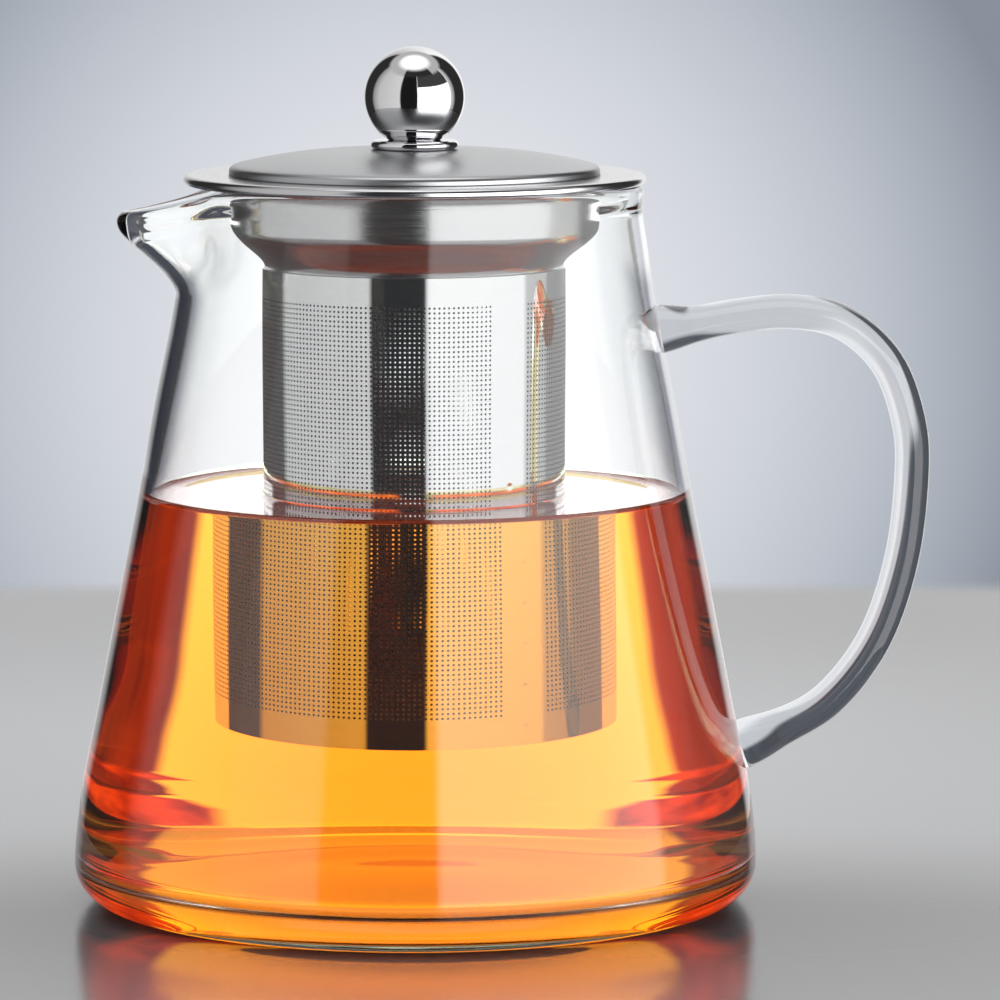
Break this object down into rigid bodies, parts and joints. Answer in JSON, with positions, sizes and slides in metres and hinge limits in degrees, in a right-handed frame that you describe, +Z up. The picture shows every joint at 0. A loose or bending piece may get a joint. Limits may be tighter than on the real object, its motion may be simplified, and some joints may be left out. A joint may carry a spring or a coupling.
{
  "type": "glass infuser teapot",
  "caption": "Tapered glass teapot with a pinched pouring lip, a fused glass handle, a lift-out perforated steel infuser and a domed steel lid with a ball knob.",
  "frame": {"origin": "centre of the flat foot, on the table, on the axis of the jug", "axes": "+Z up along the axis of the jug, the pouring lip towards -X and the handle towards +X"},
  "size_m": [0.1686, 0.1348, 0.1681],
  "materials": {
    "clear_glass": "clear blown borosilicate glass",
    "polished_steel": "mirror polished stainless steel",
    "satin_steel": "satin brushed stainless steel",
    "perforated_steel": "finely perforated stainless steel sheet"
  },
  "bodies": {
    "pot": {"glass_body": "clear_glass", "glass_handle": "clear_glass"},
    "infuser": {"infuser_collar": "polished_steel", "infuser_sleeve": "perforated_steel", "infuser_base": "perforated_steel"},
    "lid": {"lid_dome": "satin_steel", "lid_skirt": "satin_steel", "knob_ring": "polished_steel", "knob_ball": "polished_steel", "knob_screw": "satin_steel", "knob_washer": "satin_steel"}
  },
  "joints": [
    {"name": "infuser_lift", "type": "slide", "parent": "pot", "child": "infuser", "axis": [0, 0, 1], "range_m": [0, 0.12]},
    {"name": "lid_lift", "type": "slide", "parent": "infuser", "child": "lid", "axis": [0, 0, 1], "range_m": [0, 0.06]}
  ]
}
